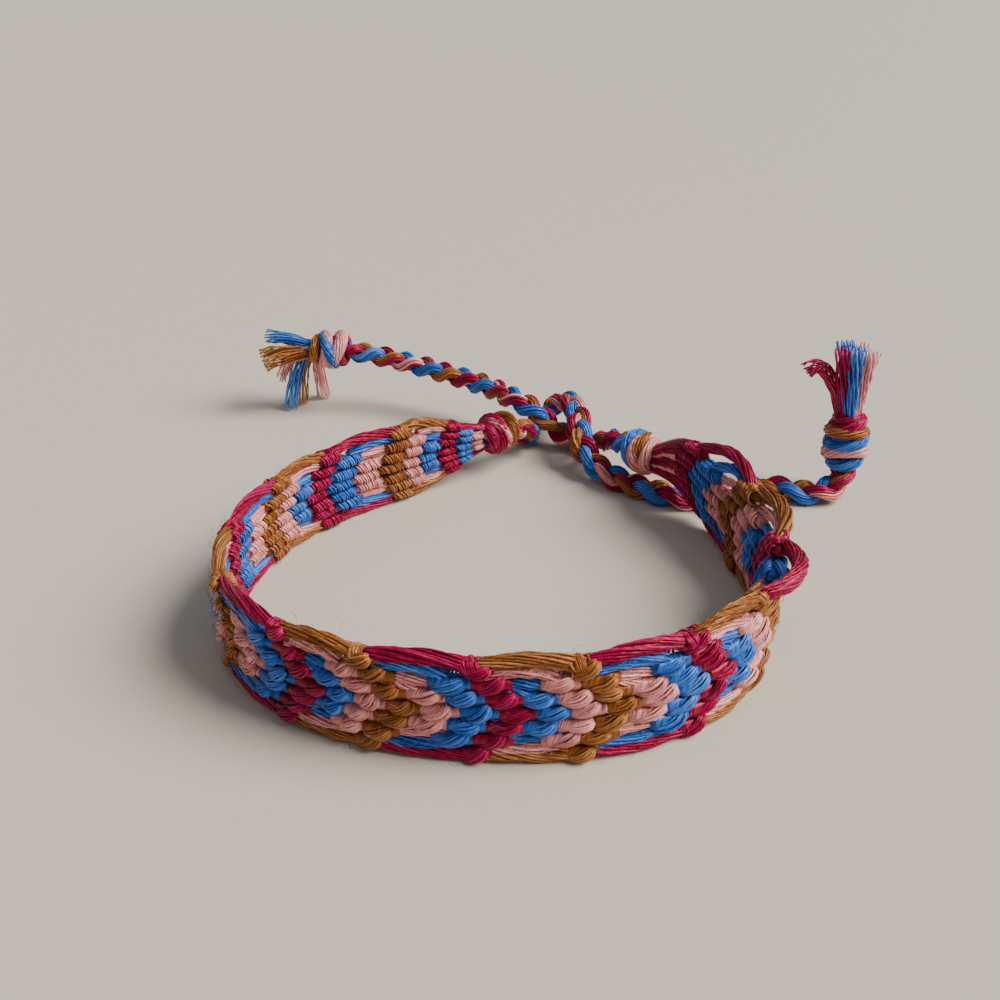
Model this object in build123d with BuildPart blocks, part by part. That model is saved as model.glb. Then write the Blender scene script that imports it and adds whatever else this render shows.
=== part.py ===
"""A knotted friendship bracelet: a chevron band closed into a loop by its two braided ties."""
import os
from math import cos, pi, radians, sin, tan

from build123d import *

# The band's knots, in millimetres
COLUMN_PITCH = 1.34       # across the band, from one knot to the next
OUTER_COLUMN = 3          # the outermost knots lie three columns from the centre line
ROWS = 45
RIDGE = 1.15              # half the band's thickness over a knot
SEAM = 0.92               # the same on a ridge, between two knots
VALLEY = 0.78             # the same between two rows
FLOAT = 0.62              # the same over the long stitches beside the chevrons
EDGE = 0.45               # the same at the band's edge

# The band's outline
BAND_HALF_WIDTH = 5.0     # at the collars of the full rows, on which the band stands
FLOAT_HALF_WIDTH = 4.76   # beside the collars, where an edge float starts
FLOAT_BOW = 0.24          # how far that float bows out halfway to the next collar
FLOAT_INNER_WIDTH = 4.4   # where the edge floats meet the outermost knots
END_WIDTH_SHARE = 0.46    # the band's width at its end knots, as a share of its full width
GATHER_LENGTH = 10.0      # the band reaches its full width this far from the end knots
TOP_BOW = 0.5             # the top edge floats arch up by this much more
FINISH_ARCH = 1.15        # the finish end arches up over the start tie that passes below it

# The knots that close the band
END_KNOT_RADIUS = 2.5
END_KNOT_HALF_LENGTH = 2.2
END_KNOT_WRAPS = 3
CLEARANCE = 0.15          # between a knot's face and what comes out of it

# The braids of the ties
STRAND_RADIUS = 0.45      # one strand of a braid
BRAID_PERIOD = 9.0        # length over which a strand returns to its place
BRAID_HALF_WIDTH = 1.0    # a strand swings this far to each side
BRAID_HALF_DEPTH = 0.70   # and this far up and down
STRANDS = 3
RUNS_PER_PERIOD = 12      # straight runs of a strand's path in one period
CORNER_SHARE = 0.45       # share of a run that the arc at each of its ends may take

# The tassels
LOCK_RADIUS = 0.62
LOCK_START = 0.5          # a lock first runs on along the knot's axis, then turns to its tip
TASSEL_HEAD_LENGTH = 1.0
LOCK_SEAT = 0.7           # a lock's round end is buried this far into the head's length
LOCK_RING_RADIUS = 1.15   # the locks leave the head on a circle of this size

# The loop's centre in the part's frame, whose origin is on the floor below the outline's middle
LOOP_CENTRE_X = -4.6
LOOP_CENTRE_Y = -11.75

# Plan path of the band about the loop's centre, from the start knot to the finish knot: x, y
BAND_PATH = [
    (0.0, 26.0), (-10.3, 18.7), (-20.4, 10.2), (-25.7, -1.8), (-24.4, -13.6), (-15.6, -22.3),
    (-2.0, -26.1), (11.4, -24.9), (21.5, -17.5), (25.3, -5.4), (23.4, 7.9), (17.0, 19.5),
]

# How far the band's upper edge leans outward of its middle: path length, lean
BAND_LEAN = [
    (0.0, -0.4), (30.0, -0.6), (50.0, -0.1), (75.0, -0.1), (100.0, -0.3),
    (112.0, 0.5), (124.0, 0.6), (134.0, -0.6), (146.0, 0.0),
]

# Where the ends of the rows lie at the band's edges: row, path length
ROW_ENDS = [
    (-0.5, 3.0), (0, 3.6), (1, 5.5), (2, 7.6), (5, 14.6), (8, 24.4), (11, 32.2), (14, 42.0),
    (17, 51.0), (20, 60.9), (23, 68.9), (26, 78.0), (29, 86.3), (32, 95.7), (35, 104.6),
    (38, 114.0), (41, 124.2), (44, 134.4), (44.5, 135.9),
]

# How far a row's point on the centre line runs ahead of its ends: path length, lead
ROW_LEAD = [(0.0, 0.5), (12.0, 1.5), (30.0, 2.8), (50.0, 3.7), (125.0, 3.7), (136.0, 2.6)]

# Top edge floats that swing away from the band: full row before it, outward, upward
SWUNG_FLOATS = {35: (2.0, 0.3), 38: (1.2, 0.4), 41: (0.5, 1.5)}

# Routes of the two ties about the loop's centre, from end knot to stopper knot: x, y, z
FINISH_TIE = [
    (15.6, 21.9, 4.9), (14.2, 24.9, 4.1), (12.4, 28.3, 2.3), (10.0, 31.0, 1.35),
    (7.4, 32.2, 2.5), (4.9, 33.1, 4.6), (2.2, 34.9, 5.6), (-1.4, 39.0, 5.8),
    (-6.9, 42.8, 6.3), (-13.7, 45.8, 7.2), (-18.2, 46.5, 8.1), (-20.5, 46.5, 8.5),
]
START_TIE = [
    (2.1, 27.5, 4.9), (3.4, 29.3, 3.8), (3.7, 32.2, 1.7), (4.2, 35.3, 1.25),
    (5.8, 37.8, 1.8), (8.1, 37.8, 3.7), (9.5, 34.8, 5.0), (10.2, 30.9, 4.9),
    (10.1, 27.0, 4.2), (11.2, 23.2, 2.4), (14.2, 19.9, 1.25), (17.5, 17.1, 1.2),
    (21.0, 15.2, 1.2), (24.5, 14.9, 1.2), (27.9, 16.0, 1.2), (31.4, 17.3, 1.2),
    (34.9, 15.9, 1.2), (37.7, 15.6, 1.4), (39.4, 16.2, 2.2), (40.2, 17.3, 3.6),
]

# Stopper knots: centre, direction of the knot's axis, radius, half length
START_STOPPER = ((40.0, 17.3, 7.3), (-0.06, 0.02, 1.0), 2.5, 3.1)
FINISH_STOPPER = ((-23.3, 46.5, 8.8), (-1.0, 0.0, 0.06), 2.8, 2.4)
STOPPER_WRAPS = 4

# Locks of the tassels, one for each floss: tip x, y, z, then how far the lock bows upward
START_LOCKS = [
    (37.9, 16.6, 18.4, 0.0), (38.6, 18.2, 18.8, 0.0), (39.3, 16.2, 18.6, 0.0),
    (40.2, 18.0, 18.6, 0.0), (40.9, 16.3, 18.0, 0.0), (41.6, 17.9, 17.6, 0.0),
    (39.8, 19.2, 17.8, 0.0), (34.3, 17.0, 15.8, 2.2),
]
FINISH_LOCKS = [
    (-31.9, 50.4, 9.4, 0.4), (-32.4, 48.4, 10.2, 0.6), (-33.0, 46.2, 8.2, 0.6),
    (-32.3, 44.2, 7.4, 0.3), (-31.0, 48.6, 3.8, 1.5), (-29.8, 46.2, 0.3, 1.7),
    (-28.6, 48.2, 0.3, 1.6), (-25.6, 50.4, 0.3, 1.2),
]


def loop_point(x, y, z=0.0):
    """A place given about the loop's centre, in the part's frame."""
    return Vector(x + LOOP_CENTRE_X, y + LOOP_CENTRE_Y, z)


def between(table, position):
    """Value of a two-column table at a position, by straight lines between its rows."""
    for (low, low_value), (high, high_value) in zip(table, table[1:]):
        if position <= high:
            share = max(position - low, 0.0) / (high - low)
            return low_value + share * (high_value - low_value)
    return table[-1][1]


# Every place on the band is a length along its plan path, a width across it and a depth
with BuildLine() as band_line:
    Spline(*[loop_point(x, y) for x, y in BAND_PATH])
band_path = band_line.edge()
BAND_START = END_KNOT_HALF_LENGTH + CLEARANCE
BAND_END = band_path.length - END_KNOT_HALF_LENGTH - CLEARANCE

# A row leans back evenly from its point on the centre line to the outer face of its end knots
WIDEST_KNOT = (OUTER_COLUMN + 0.5) * COLUMN_PITCH

# Grid lines across the band: a valley before each row, then its ridge, and one last valley
LINES = 2 * ROWS + 1
END_LINES = 2             # lines that turn from a row's chevron to the band's straight end
HALF_COLUMNS = 2 * OUTER_COLUMN + 2


def row_reach(row):
    """Outermost knot column of a row: the rows run small, medium, full and small again."""
    return OUTER_COLUMN - 2 + row % 3


def from_full_row(line):
    """How far a grid line lies from one full row's ridge to the next, from 0 to 1."""
    return (line - 5) % 6 / 6


def line_width(line, half_column):
    """Width across the band of a grid point, on the upper side of the centre line."""
    if half_column < HALF_COLUMNS - 1:
        return half_column * COLUMN_PITCH / 2
    if half_column == HALF_COLUMNS - 1:
        return FLOAT_INNER_WIDTH
    if from_full_row(line) == 0:
        return BAND_HALF_WIDTH
    return FLOAT_HALF_WIDTH + FLOAT_BOW * sin(pi * from_full_row(line))


def line_position(line, width):
    """Path length of a grid point: each line is a chevron that points to the finish knot."""
    end = between(ROW_ENDS, (line - 1) / 2)
    return end + between(ROW_LEAD, end) * (1 - min(width, WIDEST_KNOT) / WIDEST_KNOT)


def edge_swing(line, half_column):
    """How far a top edge float swings outward and upward of the band."""
    row_before = (line - 5) // 6 * 3 + 2
    outward, upward = SWUNG_FLOATS.get(row_before, (0.0, TOP_BOW))
    share = sin(pi * from_full_row(line)) * max(half_column - HALF_COLUMNS + 2, 0) / 2
    return outward * share, upward * share


def line_depth(line, half_column):
    """Half the band's thickness at a grid point: knots stand up, seams and rows lie between."""
    if half_column == HALF_COLUMNS:
        return EDGE
    column = half_column // 2
    on_ridge = line % 2 == 1
    row = (line - 1) // 2
    reach = row_reach(row) if on_ridge else min(row_reach(row), row_reach(row + 1))
    if column > reach:
        return FLOAT
    if not on_ridge:
        return VALLEY
    return RIDGE if half_column % 2 == 0 else SEAM


def band_point(position, width, depth):
    """Place of a point of the band in the part's frame."""
    share = position / band_path.length
    along = band_path.tangent_at(share)
    outward = Vector(along.Y, -along.X, 0)
    from_end = min(position - BAND_START, BAND_END - position) / GATHER_LENGTH
    narrowed = width * (END_WIDTH_SHARE + (1 - END_WIDTH_SHARE) * min(from_end, 1.0))
    from_finish = min(BAND_END - position, GATHER_LENGTH) / GATHER_LENGTH
    lift = FINISH_ARCH * sin(pi * max(from_finish, 0.0))
    lean = between(BAND_LEAN, position) * narrowed / BAND_HALF_WIDTH
    height = BAND_HALF_WIDTH + lift + narrowed
    return band_path.position_at(share) + outward * (depth + lean) + Vector(0, 0, height)


def grid_point(line, half_column, side):
    """Place of a grid point on the band's outer side (1) or inner side (-1)."""
    inside_line = min(max(line, 0), LINES - 1)
    upper = abs(half_column)
    width = line_width(inside_line, upper)
    position = line_position(inside_line, width)
    if line < 0:
        position += (BAND_START - position) * -line / END_LINES
    if line >= LINES:
        position += (BAND_END - position) * (line - LINES + 1) / END_LINES
    depth = side * line_depth(inside_line, upper)
    outward, upward = edge_swing(inside_line, half_column)
    width = width + upward if half_column >= 0 else -width
    return band_point(position, width, depth + outward)


def is_gap(line, half_column):
    """A small row leaves a see-through gap where its next knots would be."""
    row = line // 2
    upper = half_column if half_column >= 0 else -half_column - 1
    in_row = 3 <= row < ROWS and row % 3 == 0
    return in_row and upper // 2 * 2 + 1 in (3, 5) and 3 <= upper <= 4


def triangles(corner_a, corner_b, corner_c, corner_d):
    """Two flat faces that fill a four-cornered patch."""
    return [
        Face(Wire.make_polygon([corner_a, corner_b, corner_c])),
        Face(Wire.make_polygon([corner_a, corner_c, corner_d])),
    ]


def band_faces():
    """Outer and inner sides of the band, its edges and the walls of its gaps."""
    lines = range(-END_LINES, LINES - 1 + END_LINES)
    columns = range(-HALF_COLUMNS, HALF_COLUMNS)
    points = {
        (line, column, side): grid_point(line, column, side)
        for line in range(-END_LINES, LINES + END_LINES)
        for column in range(-HALF_COLUMNS, HALF_COLUMNS + 1)
        for side in (1, -1)
    }
    filled = {(line, column) for line in lines for column in columns if not is_gap(line, column)}
    faces = []
    for line, column in filled:
        here = [(line, column), (line + 1, column), (line + 1, column + 1), (line, column + 1)]
        outer = [points[place + (1,)] for place in here]
        inner = [points[place + (-1,)] for place in here]
        faces += triangles(*outer)
        faces += triangles(*reversed(inner))
        beyond = [(line, column - 1), (line + 1, column), (line, column + 1), (line - 1, column)]
        for corner, neighbour in enumerate(beyond):
            if neighbour not in filled:
                after = (corner + 1) % 4
                faces += triangles(outer[after], outer[corner], inner[corner], inner[after])
    return faces


def wrapped_knot(centre, direction, radius, half_length, wraps):
    """A barrel of wraps side by side, turned about the knot's axis, with flat faces."""
    axis = Vector(*direction).normalized()
    side = axis.cross(Vector(0, 1, 0)) if abs(axis.Z) > 0.5 else axis.cross(Vector(0, 0, 1))
    wrap_length = 2 * half_length / wraps
    with BuildPart() as knot:
        with BuildSketch(Plane(origin=centre, x_dir=axis, z_dir=side)) as profile:
            with BuildLine():
                ends = []
                for place in range(wraps + 1):
                    from_middle = abs(2 * place / wraps - 1)
                    ends.append((place * wrap_length - half_length, radius * (0.9 - 0.25 * from_middle)))
                Polyline(ends[0], (-half_length, 0), (half_length, 0), ends[-1])
                for low, high in zip(ends, ends[1:]):
                    middle = ((low[0] + high[0]) / 2, (low[1] + high[1]) / 2 + wrap_length / 4)
                    ThreePointArc(low, middle, high)
            make_face()
        revolve(axis=Axis(centre, axis))
    return knot.part


def strand_points(route, strand):
    """Corners of a strand's path: a three-strand braid laid along the tie's route."""
    with BuildLine() as tie_line:
        Spline(*[loop_point(*place) for place in route])
    tie = tie_line.edge()
    runs = round(tie.length / BRAID_PERIOD * RUNS_PER_PERIOD)
    points = []
    for step in range(runs + 1):
        share = step / runs
        along = tie.tangent_at(share)
        across = along.cross(Vector(0, 0, 1)).normalized()
        upward = across.cross(along)
        turn = 2 * pi * (share * tie.length / BRAID_PERIOD + strand / STRANDS)
        sway = across * BRAID_HALF_WIDTH * sin(turn)
        points.append(tie.position_at(share) + sway + upward * BRAID_HALF_DEPTH * sin(2 * turn))
    return points


def corner_radii(points):
    """Largest arc that each corner's two runs leave room for."""
    radii = []
    for before, corner, after in zip(points, points[1:], points[2:]):
        shorter = min((corner - before).length, (after - corner).length)
        half_turn = radians((corner - before).get_angle(after - corner)) / 2
        radii.append(CORNER_SHARE * shorter / tan(half_turn))
    return radii


def braid_strand(route, strand):
    """One strand of a tie's braid: straight runs joined by tangent arcs."""
    points = strand_points(route, strand)
    radii = corner_radii(points)
    with BuildPart() as tube:
        with BuildLine() as path:
            FilletPolyline(*points, radius=radii)
        with BuildSketch(Plane(origin=path.line @ 0, z_dir=path.line % 0)):
            Circle(STRAND_RADIUS)
        sweep()
    length = path.wire().length
    volume_share = tube.part.volume / (pi * STRAND_RADIUS**2 * length)
    print(f"strand {strand + 1}: {length:.1f} mm, least radius {min(radii):.2f} mm,",
          f"volume over section times length {volume_share:.4f}")
    return tube.part


def tassel(stopper, locks):
    """Loose floss beyond a stopper knot: one bowed lock a floss, fused to a flat head."""
    centre, direction, radius, half_length = stopper
    axis = Vector(*direction).normalized()
    root = loop_point(*centre) + axis * (half_length + CLEARANCE)
    head_plane = Plane(origin=root, z_dir=axis)
    with BuildPart() as fringe:
        with BuildSketch(head_plane):
            Circle(LOCK_RING_RADIUS + LOCK_RADIUS)
        extrude(amount=TASSEL_HEAD_LENGTH)
        for number, (x, y, z, bow) in enumerate(locks):
            angle = 2 * pi * number / len(locks)
            across = Vector(LOCK_RING_RADIUS * cos(angle), LOCK_RING_RADIUS * sin(angle))
            start = head_plane.from_local_coords(across) + axis * LOCK_SEAT
            end = loop_point(x, y, z)
            middle = (start + end) / 2 + Vector(0, 0, bow) + axis * LOCK_START
            with BuildLine() as path:
                ThreePointArc(start, middle, end)
            with BuildSketch(Plane(origin=path.line @ 0, z_dir=path.line % 0)):
                Circle(LOCK_RADIUS)
            sweep()
    return fringe.part


os.makedirs("parts", exist_ok=True)

# The woven band: one solid, with raised knots, scalloped edges and gaps cut through
band_solid = Solid(Shell(band_faces()))
with BuildPart() as knotted_band:
    add(band_solid)
knotted_band.part.label = "knotted_band"
export_step(knotted_band.part, "parts/knotted_band.step")

# The overhand knots that gather the band's ends
START_KNOT = band_point(0.0, 0.0, 0.0)
with BuildPart() as start_end_knot:
    add(wrapped_knot(START_KNOT, band_path.tangent_at(0), END_KNOT_RADIUS,
                     END_KNOT_HALF_LENGTH, END_KNOT_WRAPS))
start_end_knot.part.label = "start_end_knot"
export_step(start_end_knot.part, "parts/start_end_knot.step")

FINISH_KNOT = band_point(band_path.length, 0.0, 0.0)
with BuildPart() as finish_end_knot:
    add(wrapped_knot(FINISH_KNOT, band_path.tangent_at(1), END_KNOT_RADIUS,
                     END_KNOT_HALF_LENGTH, END_KNOT_WRAPS))
finish_end_knot.part.label = "finish_end_knot"
export_step(finish_end_knot.part, "parts/finish_end_knot.step")

# The two braided ties, which pass round each other once in the knot that closes the loop
for tie_name, tie_route in (("start", START_TIE), ("finish", FINISH_TIE)):
    for strand_number in range(STRANDS):
        with BuildPart() as strand_part:
            add(braid_strand(tie_route, strand_number))
        strand_name = f"{tie_name}_braid_strand_{strand_number + 1}"
        strand_part.part.label = strand_name
        export_step(strand_part.part, f"parts/{strand_name}.step")

# The stopper knots near the ties' ends, and the tassels of loose floss beyond them
for stopper_name, stopper, locks in (
    ("start", START_STOPPER, START_LOCKS), ("finish", FINISH_STOPPER, FINISH_LOCKS)
):
    stopper_centre, stopper_axis, stopper_radius, stopper_half_length = stopper
    with BuildPart() as stopper_part:
        add(wrapped_knot(loop_point(*stopper_centre), stopper_axis, stopper_radius,
                         stopper_half_length, STOPPER_WRAPS))
    stopper_part.part.label = f"{stopper_name}_stopper_knot"
    export_step(stopper_part.part, f"parts/{stopper_name}_stopper_knot.step")

    with BuildPart() as tassel_part:
        add(tassel(stopper, locks))
    tassel_part.part.label = f"{stopper_name}_tassel"
    export_step(tassel_part.part, f"parts/{stopper_name}_tassel.step")
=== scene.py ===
"""The looks of a knotted friendship bracelet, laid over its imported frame."""

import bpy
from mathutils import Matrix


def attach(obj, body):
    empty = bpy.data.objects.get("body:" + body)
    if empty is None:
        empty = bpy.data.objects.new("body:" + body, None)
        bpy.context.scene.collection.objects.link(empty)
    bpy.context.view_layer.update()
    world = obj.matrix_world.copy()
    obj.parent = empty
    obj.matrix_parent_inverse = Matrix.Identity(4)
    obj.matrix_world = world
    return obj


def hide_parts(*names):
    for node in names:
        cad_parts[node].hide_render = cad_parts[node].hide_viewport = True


bl_info = {
    "name": "Friendship bracelet",
    "version": (1, 0, 0),
    "blender": (4, 5, 0),
    "location": "View3D > Sidebar > Bracelet",
    "description": "Lays the floss of a chevron friendship bracelet and sets its stage",
    "category": "Add Mesh",
}

from collections import namedtuple

import bpy
import numpy as np
from bpy.props import FloatProperty, FloatVectorProperty, IntProperty, PointerProperty
from mathutils import Matrix, Vector

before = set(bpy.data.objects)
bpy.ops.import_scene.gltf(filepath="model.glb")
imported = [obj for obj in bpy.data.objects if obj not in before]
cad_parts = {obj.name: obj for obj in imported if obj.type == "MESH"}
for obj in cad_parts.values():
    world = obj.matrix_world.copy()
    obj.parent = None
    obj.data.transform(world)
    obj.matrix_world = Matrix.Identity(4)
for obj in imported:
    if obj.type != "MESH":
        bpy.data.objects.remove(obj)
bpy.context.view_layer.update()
MM = 0.001

# The band's knots, as the solid has them, in millimetres
COLUMN_PITCH = 1.34       # across the band, from one knot to the next
OUTER_COLUMN = 3
ROWS = 45
RIDGE = 1.15              # half the band's thickness over a knot
BAND_HALF_WIDTH = 5.0
END_WIDTH_SHARE = 0.46    # the band's width at its end knots, as a share of its full width
GATHER_LENGTH = 10.0
TOP_BOW = 0.5             # the top edge floats arch up by this much more
FINISH_ARCH = 1.15        # the finish end arches up over the start tie that passes below it
END_KNOT_RADIUS = 2.5
END_KNOT_HALF_LENGTH = 2.2
CLEARANCE = 0.15

# The braids of the ties
BRAID_PERIOD = 9.0
BRAID_HALF_WIDTH = 1.0
BRAID_HALF_DEPTH = 0.70
STRANDS = 3

# The middle of the loop in the part's frame, whose origin is on the floor
LOOP_CENTRE = (-4.6, -11.75, 0.0)

# Plan path of the band about the loop's centre, from the start knot to the finish knot: x, y
BAND_PATH = [
    (0.0, 26.0), (-10.3, 18.7), (-20.4, 10.2), (-25.7, -1.8), (-24.4, -13.6), (-15.6, -22.3),
    (-2.0, -26.1), (11.4, -24.9), (21.5, -17.5), (25.3, -5.4), (23.4, 7.9), (17.0, 19.5),
]

# How far the band's upper edge leans outward of its middle: path length, lean
BAND_LEAN = [
    (0.0, -0.4), (30.0, -0.6), (50.0, -0.1), (75.0, -0.1), (100.0, -0.3),
    (112.0, 0.5), (124.0, 0.6), (134.0, -0.6), (146.0, 0.0),
]

# Where the ends of the rows lie at the band's edges: row, path length
ROW_ENDS = [
    (-0.5, 3.0), (0, 3.6), (1, 5.5), (2, 7.6), (5, 14.6), (8, 24.4), (11, 32.2), (14, 42.0),
    (17, 51.0), (20, 60.9), (23, 68.9), (26, 78.0), (29, 86.3), (32, 95.7), (35, 104.6),
    (38, 114.0), (41, 124.2), (44, 134.4), (44.5, 135.9),
]

# How far a row's point on the centre line runs ahead of its ends: path length, lead
ROW_LEAD = [(0.0, 0.5), (12.0, 1.5), (30.0, 2.8), (50.0, 3.7), (125.0, 3.7), (136.0, 2.6)]

# Top edge floats that swing away from the band: full row before it, outward, upward
SWUNG_FLOATS = {35: (2.0, 0.3), 38: (1.2, 0.4), 41: (0.5, 1.5)}

# The floss of the band, in millimetres and degrees
KNOT_SHIFT = -0.6         # the knots sit this far before their row's line
COLLAR_SHIFT = -0.4       # and the collars at the row's ends this far
EDGE_LINE = 4.6           # the rows' ends, measured from the band's middle line
SECOND_COLUMN = 2.7       # the second knots to each side, measured in the same way
KNOT_STEPS = 8            # places along a ply of a knot
KNOT_HALF = 0.51          # half the thickness of a knot's rope on the outer face
KNOT_REACH = 0.98         # its length, as a share of the distance between the rows
KNOT_RISE = 12            # its angle to the band where it starts
KNOT_HOOK = 40            # and where it ends
KNOT_ARC = 88             # its plies lie this far round it to each side
KNOT_TWIST = 26           # and turn this far as they run along it
KNOT_ENDS = 0.3           # its thickness at its ends, as a share
INNER_HALF = 0.64         # half the thickness of a knot on the inner face
INNER_REACH = 0.88        # its plies spread over this share of the distance between the rows
INNER_ARC = 84            # they reach this far round it to each side
INNER_SLANT = 0.384       # they run this far askew to each side
INNER_MORE = 2            # and there are this many more of them than on the outer face
COLLAR_TURNS = 8          # wraps of a collar
COLLAR_HALF_LENGTH = 0.68
COLLAR_REACH = {1: 0.74, -1: 0.62}    # half its size at the upper and at the lower edge
HEAVY_FLOAT = 1.25        # a float that swings out by more than 1 mm is this much thicker
HAIR_STEPS = 6            # places along a stray hair
CORE_SIDES = 8            # faces round the floss deep inside
PAINTED_SHADE_TONE = -0.1          # which is painted this dark, as shade where it shows between the plies

# A kind of long stitch on the band: how far from the middle line it starts and ends, how far it
# bows towards the edge, half its thickness across the band and through it, and how many plies
# fewer it has than an edge float
Stitch = namedtuple("Stitch", "start end bow across through fewer")
EDGE_FLOAT = Stitch(4.2, 4.2, 0.14, 0.56, 0.5, 0)
FIRST_EDGE_FLOAT = Stitch(3.0, 4.2, -0.2, 0.56, 0.5, 0)
INNER_FLOAT = Stitch(3.5, 3.3, 0.25, 0.5, 0.42, 4)
FIRST_INNER_FLOAT = Stitch(2.2, 3.3, 0.25, 0.5, 0.42, 4)
SMALL_FLOAT = Stitch(2.75, 2.4, 0.0, 0.4, 0.32, 5)
SMALL_STITCH = Stitch(2.4, 1.6, 0.0, 0.44, 0.36, 5)

# Routes of the two ties about the loop's centre, from end knot to stopper knot: x, y, z
FINISH_TIE = [
    (15.6, 21.9, 4.9), (14.2, 24.9, 4.1), (12.4, 28.3, 2.3), (10.0, 31.0, 1.35),
    (7.4, 32.2, 2.5), (4.9, 33.1, 4.6), (2.2, 34.9, 5.6), (-1.4, 39.0, 5.8),
    (-6.9, 42.8, 6.3), (-13.7, 45.8, 7.2), (-18.2, 46.5, 8.1), (-20.5, 46.5, 8.5),
]
START_TIE = [
    (2.1, 27.5, 4.9), (3.4, 29.3, 3.8), (3.7, 32.2, 1.7), (4.2, 35.3, 1.25),
    (5.8, 37.8, 1.8), (8.1, 37.8, 3.7), (9.5, 34.8, 5.0), (10.2, 30.9, 4.9),
    (10.1, 27.0, 4.2), (11.2, 23.2, 2.4), (14.2, 19.9, 1.25), (17.5, 17.1, 1.2),
    (21.0, 15.2, 1.2), (24.5, 14.9, 1.2), (27.9, 16.0, 1.2), (31.4, 17.3, 1.2),
    (34.9, 15.9, 1.2), (37.7, 15.6, 1.4), (39.4, 16.2, 2.2), (40.2, 17.3, 3.6),
]

# Stopper knots: centre, direction of the knot's axis, radius, half length
START_STOPPER = ((40.0, 17.3, 7.3), (-0.06, 0.02, 1.0), 2.5, 3.1)
FINISH_STOPPER = ((-23.3, 46.5, 8.8), (-1.0, 0.0, 0.06), 2.8, 2.4)

# Locks of the tassels: colour, tip x, y, z, then how far the lock bows upward
START_LOCKS = [
    ("crimson", 37.9, 16.6, 18.4, 0.0), ("blue", 38.6, 18.2, 18.8, 0.0),
    ("blue", 39.3, 16.2, 18.6, 0.0), ("pink", 40.2, 18.0, 18.6, 0.0),
    ("pink", 40.9, 16.3, 18.0, 0.0), ("brown", 41.6, 17.9, 17.6, 0.0),
    ("pink", 39.8, 19.2, 17.8, 0.0), ("crimson", 34.3, 17.0, 15.8, 2.2),
]
FINISH_LOCKS = [
    ("blue", -31.9, 50.4, 9.4, 0.4), ("blue", -32.4, 48.4, 10.2, 0.6),
    ("brown", -33.0, 46.2, 8.2, 0.6), ("brown", -32.3, 44.2, 7.4, 0.3),
    ("pink", -31.0, 48.6, 3.8, 1.5), ("blue", -29.8, 46.2, 0.3, 1.7),
    ("brown", -28.6, 48.2, 0.3, 1.6), ("pink", -25.6, 50.4, 0.3, 1.2),
]

# Colours of the rows of knots, over and over: a full row in its own colour ends each three
ROW_COLOURS = ["pink", "blue", "crimson", "blue", "pink", "brown"]
REPEAT = len(ROW_COLOURS)
ROW_CYCLE = 3             # rows of three, five and seven knots follow one another
# Floss between the last row and the finish knot: column that it comes from, colour
GATHERED = [(3, "crimson"), (2, "crimson"), (1, "pink"), (0.35, "crimson")]

# Seeds of the random draws
SEEDS = {"band": 11, "ties": 21, "knots": 31, "tassels": 41, "tassel tones": 5}
TINY = 1e-9               # keeps a length of nothing from being divided by
MAP_SHIFT = 10            # the fibres of each ply start anywhere in this length, in millimetres


def smooth_line(corners):
    """A natural cubic line through the corners: close places on it and the length up to each."""
    corners = np.array(corners, float)
    spans = np.linalg.norm(np.diff(corners, axis=0), axis=1)
    rise = np.diff(corners, axis=0) / spans[:, None]
    system = np.eye(len(corners))
    bends = np.zeros_like(corners)
    for i in range(1, len(corners) - 1):
        system[i, i - 1:i + 2] = spans[i - 1], 2 * (spans[i - 1] + spans[i]), spans[i]
        bends[i] = 6 * (rise[i] - rise[i - 1])
    bends = np.linalg.solve(system, bends)
    far = np.linspace(0, 1, 60, endpoint=False)[:, None]
    near = 1 - far
    places = [
        near * corners[i] + far * corners[i + 1]
        + ((near**3 - near) * bends[i] + (far**3 - far) * bends[i + 1]) * spans[i]**2 / 6
        for i in range(len(spans))
    ]
    places = np.vstack(places + [corners[-1:]])
    steps = np.linalg.norm(np.diff(places, axis=0), axis=1)
    return places, np.concatenate([[0.0], np.cumsum(steps)])


def line_at(line, position):
    """Places and directions on a smooth line, which runs straight on past its ends."""
    places, lengths = line
    directions = np.gradient(places, lengths, axis=0)
    inside = np.clip(position, 0, lengths[-1])
    place = np.stack([np.interp(inside, lengths, column) for column in places.T], -1)
    along = np.stack([np.interp(inside, lengths, column) for column in directions.T], -1)
    along /= np.linalg.norm(along, axis=-1, keepdims=True)
    return place + along * (position - inside)[..., None], along


BAND_LINE = smooth_line([np.add((x, y, 0.0), LOOP_CENTRE) for x, y in BAND_PATH])
BAND_START = END_KNOT_HALF_LENGTH + CLEARANCE
BAND_END = BAND_LINE[1][-1] - END_KNOT_HALF_LENGTH - CLEARANCE
WIDEST_KNOT = (OUTER_COLUMN + 0.5) * COLUMN_PITCH


def row_position(row, width):
    """Path length of a row of knots at a width: a chevron that points to the finish knot."""
    end = np.interp(row, *zip(*ROW_ENDS))
    lead = np.interp(end, *zip(*ROW_LEAD))
    return end + lead * (1 - np.minimum(np.abs(width), WIDEST_KNOT) / WIDEST_KNOT)


def row_pitch(row):
    """Distance from a row of knots to its neighbours."""
    return np.interp(row + 0.5, *zip(*ROW_ENDS)) - np.interp(row - 0.5, *zip(*ROW_ENDS))


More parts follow.
